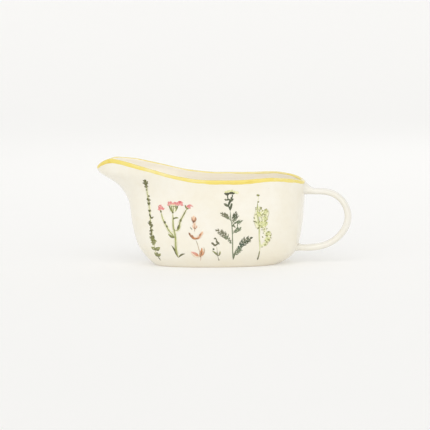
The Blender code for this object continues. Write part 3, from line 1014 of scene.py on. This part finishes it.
def yarrow(drawn):
    """The tallest: a flat yellow-green head over feathered leaves."""
    drawn.stroke(((10.7, 6.9), (11.0, 16.8), (11.2, 23.0), (11.3, 30.0), (10.8, 38.6), (10.2, 43.5),
                  (10.1, 49.0)), 0.95, FERN)
    drawn.dot(10.1, 48.9, 0.8, FOREST)
    # The head: pale florets over a dark rim.
    drawn.wash(((17.4, 62.0), (10.6, 63.4), (5.8, 62.8)), 2.2, WASH_LIME)
    for x, z, size in (
            (7.2, 63.5, 1.3), (9.3, 64.2, 1.3), (11.6, 64.0, 1.3), (13.7, 63.2, 1.1), (15.4, 62.3, 0.9)):
        drawn.tuft(x, z - 0.7, size * 1.3, 5, LIME, LIME_LIGHT, 90.0, 160.0)
    drawn.leaves(
        ((5.4, 62.0), (10.6, 62.1), 2.4, DARKEST, DARKEST, -0.10),
        ((9.0, 61.7), (14.5, 61.7), 2.2, DARKEST, DARKEST, 0.10),
    )
    drawn.dot(8.2, 60.9, 1.1, DARKEST)
    drawn.dot(12.6, 61.8, 0.9, FOREST)
    for points, width in (
            (((8.3, 60.0), (8.4, 58.4), (8.8, 57.2)), 1.1),
            (((12.2, 60.8), (11.8, 58.6), (11.0, 57.4)), 1.1),
            (((5.7, 57.2), (7.4, 56.7), (9.2, 56.9), (10.8, 56.8)), 1.6),
            (((12.4, 56.9), (10.2, 55.4), (9.2, 53.2), (8.8, 51.8)), 2.2),
            (((10.1, 49.0), (9.2, 51.0), (8.6, 52.4)), 1.4),
            (((10.1, 49.2), (10.9, 51.4), (11.6, 54.0)), 2.1)):
        drawn.stroke(points, width, FOREST)
    drawn.leaves(
        ((8.8, 51.3), (5.0, 53.9), 2.2, FOREST),
        ((10.6, 57.2), (12.2, 59.0), 1.6, FOREST),
        ((10.6, 55.6), (13.0, 57.6), 1.8, FOREST),
    )
    # Feathered leaves, from the top down.
    drawn.frond(((10.9, 39.0), (7.6, 43.0), (3.2, 45.6)), 5, 2.7, 0.75, FERN, GREY_GREEN, 0.30)
    drawn.stroke(((11.2, 34.6), (12.6, 36.8), (15.6, 38.3)), 1.2, FERN, FOREST)
    drawn.leaf((12.0, 36.2), (14.0, 33.8), 1.3, FERN, FOREST)
    drawn.frond(((11.3, 37.2), (13.0, 40.6), (14.4, 45.6)), 5, 3.5, 0.65, FERN, FOREST, 0.25)
    drawn.frond(((12.0, 38.9), (15.6, 38.3), (18.6, 39.2)), 3, 2.6, 0.6, FERN, FERN, 0.45)
    drawn.frond(((11.3, 29.0), (14.0, 31.0), (17.4, 33.4)), 4, 2.7, 0.7, FERN, FERN, 0.25)
    drawn.stroke(((15.6, 38.2), (15.5, 35.0), (15.0, 31.8)), 0.8, FERN)
    drawn.frond(((10.6, 21.0), (6.2, 26.6), (2.6, 29.6), (-0.8, 31.6)),
                7, 3.9, 0.8, FERN, GREY_GREEN, 0.06)
    drawn.frond(((10.7, 8.8), (13.4, 12.6), (17.4, 17.0)), 4, 3.5, 0.75, FERN, FERN, 0.28)
    drawn.frond(((15.0, 15.4), (18.6, 20.2), (21.8, 23.0), (25.4, 24.8)),
                6, 4.7, 1.2, BLUE_GREEN, FOREST, 0.0)
    drawn.leaf((10.7, 7.0), (13.0, 13.8), 1.2, GREY_GREEN, FERN)


def mignonette(drawn):
    """Pale yellow-green foliage flecked with olive, on a stem that is dark at the foot."""
    drawn.wash(((33.0, 32.6), (31.0, 38.0), (31.4, 45.6), (32.8, 51.0)), 5.0, WASH)
    drawn.wash(((38.8, 48.4), (38.0, 42.0), (35.2, 35.0)), 5.0, WASH)
    drawn.wash(((35.6, 48.0), (35.2, 42.0), (34.0, 34.0)), 4.0, WASH)
    drawn.wash(((36.4, 35.0), (37.0, 31.0), (38.4, 26.0)), 3.2, WASH)
    drawn.wash(((40.4, 30.4), (39.4, 24.0), (36.4, 19.4), (33.6, 18.4)), 4.6, WASH)
    drawn.stroke(((30.0, 6.1), (31.6, 10.5), (32.5, 14.4)), 1.2, GREY_GREEN, MOSS)
    drawn.stroke(((32.4, 13.6), (32.9, 18.6), (32.6, 24.0), (32.8, 33.0), (31.6, 46.0), (32.2, 55.0)),
                 1.3, LIME_LIGHT, OLIVE_LIGHT)
    drawn.stroke(((33.0, 19.0), (35.2, 19.2), (38.2, 22.4), (39.6, 27.6), (40.4, 30.4)), 0.6, LIME_LIGHT)
    drawn.stroke(((32.8, 32.0), (35.2, 36.0), (37.6, 40.0), (38.6, 47.4)), 0.8, LIME_LIGHT)
    # Washes of pale green under the flecks.
    for x, z, size, count in (
            (33.0, 44.8, 2.6, 7), (38.2, 46.0, 2.4, 7), (37.6, 40.6, 2.4, 7), (34.6, 36.0, 3.0, 9),
            (31.6, 37.2, 2.2, 6), (37.6, 36.2, 2.4, 7), (39.6, 28.0, 2.4, 7), (38.8, 23.4, 2.6, 8),
            (37.4, 19.6, 2.0, 6), (33.2, 49.0, 1.6, 5), (34.2, 18.2, 1.2, 5)):
        drawn.tuft(x, z, size, count, LIME_LIGHT, LIME if count > 6 else LIME_LIGHT, sweep=330.0)
    for x, z, size, count in (
            (32.4, 45.6, 1.5, 5), (38.5, 47.4, 1.5, 5), (38.0, 44.0, 1.1, 4), (38.0, 41.0, 1.3, 5),
            (37.6, 38.8, 1.2, 4), (33.1, 35.0, 1.3, 5), (32.1, 33.2, 1.2, 4), (35.0, 37.4, 1.2, 5),
            (38.6, 37.2, 1.1, 4), (34.8, 34.0, 1.1, 4), (39.9, 29.8, 1.2, 5), (38.8, 27.2, 1.2, 5),
            (41.3, 26.8, 1.0, 4), (39.3, 23.2, 1.3, 5), (38.1, 21.2, 1.3, 5), (37.1, 19.1, 1.2, 5),
            (34.4, 17.6, 0.8, 4), (31.0, 37.9, 1.0, 4)):
        drawn.tuft(x, z - 0.3, size, count, MOSS, OLIVE_LIGHT, sweep=250.0)
    for low_x, high_x, low_z, high_z, count in (
            (29.6, 36.0, 41.0, 50.0, 15), (36.6, 39.8, 38.0, 48.0, 12), (31.0, 39.0, 32.0, 38.6, 18),
            (34.4, 37.4, 38.0, 46.0, 9), (34.6, 39.0, 24.0, 33.0, 8), (37.0, 41.6, 19.0, 30.0, 14)):
        for _ in range(count):
            x, z = random.uniform(low_x, high_x), random.uniform(low_z, high_z)
            size, bearing = random.uniform(0.6, 1.0), random.uniform(0.0, 360.0)
            drawn.tuft(x, z, size, 3, OLIVE_LIGHT, MOSS, bearing, 160.0)
    for x, z, size in (
            (32.5, 54.5, 0.75), (34.4, 49.4, 0.95), (38.6, 47.9, 0.9), (34.9, 41.3, 0.5),
            (30.4, 49.6, 0.5), (33.1, 35.3, 0.6), (39.3, 23.4, 0.75), (38.2, 21.3, 0.75),
            (37.2, 19.2, 0.75), (32.1, 33.4, 0.6), (37.9, 39.3, 0.6), (30.6, 44.6, 0.5),
            (35.8, 28.8, 0.4), (34.8, 31.6, 0.4)):
        drawn.dot(x, z, size, MOSS)
    drawn.leaves(
        ((32.9, 58.9), (31.3, 60.6), 1.6, MOSS, OLIVE_LIGHT),
        ((32.9, 58.9), (33.3, 60.4), 1.1, MOSS, OLIVE_LIGHT),
    )
    drawn.stroke(((32.9, 58.9), (32.5, 56.6), (32.4, 54.4)), 0.4, LIME_LIGHT)
    drawn.leaves(
        ((29.6, 40.6), (28.4, 42.4), 0.9, GREY_GREEN, OLIVE_LIGHT),
        ((31.0, 37.8), (27.9, 39.2), 1.1, MOSS, GREY_GREEN),
    )


# The plants, and where the foot of each stands on the near side and on the far side, which shows
# them turned round.
PLANTS = (
    (goosefoot, -55.0, -54.0),
    (knapweed, -34.0, -31.0),
    (coral_herb, -16.0, -8.0),
    (yarrow, 10.8, 17.0),
    (chickweed, -1.2, 33.0),
    (mignonette, 31.0, 47.0),
)


def make_plants(surface):
    for draw, near_foot, far_foot in PLANTS:
        name = "plant_" + draw.__name__
        drawn = Print(near_foot)
        draw(drawn)
        drawn.make(name, surface, -1, near_foot)
        drawn.make(name + "_far", surface, 1, far_foot)


# ---- stage, light and camera

FLOOR_COLOUR = linear(213, 212, 209)
FLOOR_GLOW = 0.28
CAMERA_DISTANCE = 1.40
CAMERA_ELEVATION = 6.3
CAMERA_AZIMUTH = 6.5
CAMERA_ROLL = 1.28
# In millimetres: the width that the lens covers at the boat, and the point in the picture's middle.
FIELD_WIDTH = 355.96
SENSOR = 36.0
AIM_HEIGHT = 40.0
AIM_LEFT = 6.8295


def towards(azimuth, elevation):
    """The direction from the boat to there. Azimuth 0 is the near side, 90 the handle's."""
    a, e = math.radians(azimuth), math.radians(elevation)
    return Vector((math.sin(a) * math.cos(e), -math.cos(a) * math.cos(e), math.sin(e)))


def make_camera():
    """Long lens a little above the table, a touch off level, with the boat near the middle."""
    back = towards(CAMERA_AZIMUTH, CAMERA_ELEVATION)
    data = bpy.data.cameras.new("camera")
    data.sensor_width = SENSOR
    data.lens = SENSOR * CAMERA_DISTANCE / (FIELD_WIDTH * MM)
    turned = Quaternion(back, math.radians(-CAMERA_ROLL)) @ back.to_track_quat("Z", "Y")
    aim = Vector((0.0, 0.0, AIM_HEIGHT * MM)) - turned @ Vector((AIM_LEFT * MM, 0.0, 0.0))
    data.clip_end = 20.0
    bpy.context.scene.camera = add_object("camera", data, aim + back * CAMERA_DISTANCE, turned)


SKY_STRENGTH = 0.67
KEY_AZIMUTH, KEY_ELEVATION = 2.0, 30.0
KEY_SPREAD, KEY_STRENGTH = 95.0, 1.52
FILL_PLACE, FILL_SIZE, FILL_POWER = (0.2, 1.1, 1.0), (1.4, 1.2), 1.6
FLOOR_REACH = 8.0
FLAT_REACH = 1.6
FLOOR_RISE = 0.05
FLOOR_SEGMENTS = 96


def make_stage():
    """A pale floor, flat round the boat and rising softly far away on every side."""
    form = bmesh.new()
    radii = [0.8, FLAT_REACH, *np.linspace(FLAT_REACH, FLOOR_REACH, 25)[1:]]
    middle = form.verts.new((0.0, 0.0, 0.0))
    rings = []
    angles = np.linspace(0.0, 2.0 * math.pi, FLOOR_SEGMENTS, endpoint=False)
    for radius in radii:
        height = FLOOR_RISE * max(radius - FLAT_REACH, 0.0) ** 2
        rings.append([form.verts.new((radius * math.cos(a), radius * math.sin(a), height)) for a in angles])
    for i, corner in enumerate(rings[0]):
        form.faces.new((middle, corner, rings[0][(i + 1) % FLOOR_SEGMENTS]))
    for inner, outer in zip(rings, rings[1:]):
        for i in range(FLOOR_SEGMENTS):
            j = (i + 1) % FLOOR_SEGMENTS
            form.faces.new((inner[i], outer[i], outer[j], inner[j]))
    mesh = bpy.data.meshes.new("floor")
    form.to_mesh(mesh)
    form.free()
    mesh.materials.append(plain_floor())
    mesh.shade_smooth()
    floor = add_object("floor", mesh)


def add_lamp(name, kind, at, facing, power):
    data = bpy.data.lights.new(name, kind)
    data.energy = power
    add_object(name, data, at, facing.to_track_quat("Z", "Y"))
    return data


def make_light():
    world = bpy.data.worlds.new("studio")
    bpy.context.scene.world = world
    world.use_nodes = True
    put(world.node_tree.nodes["Background"], Color=(1.0, 1.0, 1.0, 1.0), Strength=SKY_STRENGTH)
    # A wide soft light from the front, and a soft box behind that faces the boat.
    front = towards(KEY_AZIMUTH, KEY_ELEVATION)
    key = add_lamp("front_key", "SUN", front * 3.0, front, KEY_STRENGTH)
    key.angle = math.radians(KEY_SPREAD)
    behind = Vector(FILL_PLACE)
    fill = add_lamp("back_fill", "AREA", behind, behind, FILL_POWER)
    fill.shape = "RECTANGLE"
    fill.size, fill.size_y = FILL_SIZE
    bpy.context.scene.view_settings.view_transform = "Standard"


make_camera()
make_stage()
make_light()
cream = cream_glaze("cream_glaze_bowl", linear(242, 236, 219), linear(245, 241, 229), True)
cream_strap = cream_glaze("cream_glaze_strap", linear(237, 233, 220), linear(240, 237, 229), False)
make_bowl(cream)
make_handle(cream_strap)
make_band(yellow_glaze())
make_plants(ink())
